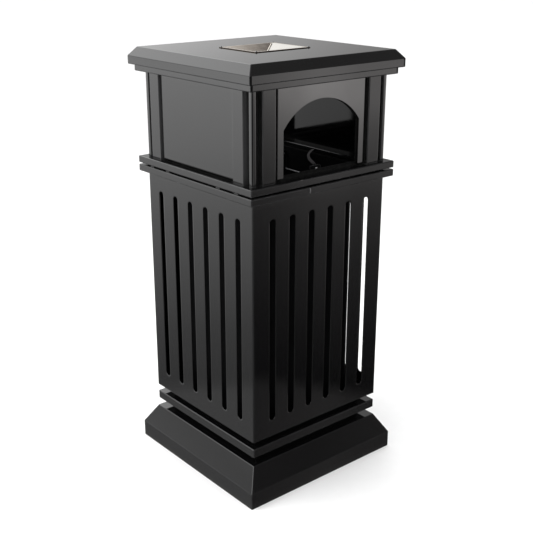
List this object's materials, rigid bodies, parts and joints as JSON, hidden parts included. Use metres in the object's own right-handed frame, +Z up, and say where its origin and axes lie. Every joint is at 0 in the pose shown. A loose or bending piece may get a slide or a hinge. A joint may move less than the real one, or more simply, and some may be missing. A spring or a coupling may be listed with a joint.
{
  "type": "ashtray litter bin",
  "caption": "Square steel street litter bin with a hinged hood, arched mouths front and back, slotted body, stepped plinth and a lift-out roof ashtray.",
  "frame": {"origin": "middle of the square footprint, on the ground", "axes": "+Z up; -Y is the front with an arched mouth, +Y the hinged back, also arched; +X is the right side seen from the front"},
  "size_m": [0.45, 0.45, 1.0035],
  "materials": {
    "black_paint": "gloss black powder coat",
    "ash_steel": "bright brushed stainless steel",
    "bright_fastener": "zinc plated steel",
    "handle_wire": "bright drawn wire",
    "liner_steel": "dark coated sheet",
    "rubber": "matt black"
  },
  "bodies": {
    "pedestal": {"base_plate": "black_paint", "body_floor": "black_paint", "body_neck": "black_paint", "body_panel_back": "black_paint", "body_panel_front": "black_paint", "body_panel_left": "black_paint", "body_panel_right": "black_paint", "body_rim": "black_paint", "corner_angle_back_left": "black_paint", "corner_angle_back_right": "black_paint", "corner_angle_front_left": "black_paint", "corner_angle_front_right": "black_paint", "hinge_leaf_body_left": "bright_fastener", "hinge_leaf_body_right": "bright_fastener", "hinge_pin_left": "bright_fastener", "hinge_pin_right": "bright_fastener", "hinge_rivets_body": "bright_fastener", "latch_keeper": "bright_fastener", "plinth_neck": "black_paint", "plinth_shell": "black_paint", "rim_bumpers": "rubber", "step_box": "black_paint"},
    "hood": {"arch_plate_back": "black_paint", "arch_plate_front": "black_paint", "ash_tray_studs": "bright_fastener", "corner_post_back_left": "black_paint", "corner_post_back_right": "black_paint", "corner_post_front_left": "black_paint", "corner_post_front_right": "black_paint", "cornice": "black_paint", "hinge_leaf_hood_left": "bright_fastener", "hinge_leaf_hood_right": "bright_fastener", "hinge_rivets_hood": "bright_fastener", "hood_frame": "black_paint", "hood_wall_back": "black_paint", "hood_wall_front": "black_paint", "hood_wall_left": "black_paint", "hood_wall_right": "black_paint", "latch_bracket": "black_paint", "latch_screw": "bright_fastener", "pilaster_back_a": "black_paint", "pilaster_back_b": "black_paint", "pilaster_front_a": "black_paint", "pilaster_front_b": "black_paint", "pilaster_left_a": "black_paint", "pilaster_left_b": "black_paint", "pilaster_right_a": "black_paint", "pilaster_right_b": "black_paint", "roof_cap": "black_paint", "side_plate_left": "black_paint", "side_plate_right": "black_paint"},
    "ash_tray": {"ash_tray": "ash_steel"},
    "latch": {"latch_hook": "bright_fastener"},
    "liner": {"liner_shell": "liner_steel", "liner_bottom": "liner_steel", "liner_rim": "liner_steel", "liner_ears": "handle_wire"},
    "liner_handle_left": {"liner_handle_left": "handle_wire"},
    "liner_handle_right": {"liner_handle_right": "handle_wire"}
  },
  "joints": [
    {"name": "hood_hinge", "type": "hinge", "parent": "pedestal", "child": "hood", "pos_m": [0, 0.2175, 0.73], "axis": [-1, 0, 0], "range_deg": [0, 100]},
    {"name": "liner_lift", "type": "slide", "parent": "pedestal", "child": "liner", "axis": [0, 0, 1], "range_m": [0, 0.15]},
    {"name": "liner_handle_left_swing", "type": "hinge", "parent": "liner", "child": "liner_handle_left", "pos_m": [-0.142, 0, 0.722], "axis": [0, -1, 0], "range_deg": [0, 150]},
    {"name": "liner_handle_right_swing", "type": "hinge", "parent": "liner", "child": "liner_handle_right", "pos_m": [0.142, 0, 0.722], "axis": [0, 1, 0], "range_deg": [0, 150]},
    {"name": "ash_tray_lift", "type": "slide", "parent": "hood", "child": "ash_tray", "axis": [0, 0, 1], "range_m": [0, 0.06]},
    {"name": "latch_hook_swing", "type": "hinge", "parent": "hood", "child": "latch", "pos_m": [0.012, -0.16125, 0.751], "axis": [0, 1, 0], "range_deg": [0, 165]}
  ]
}
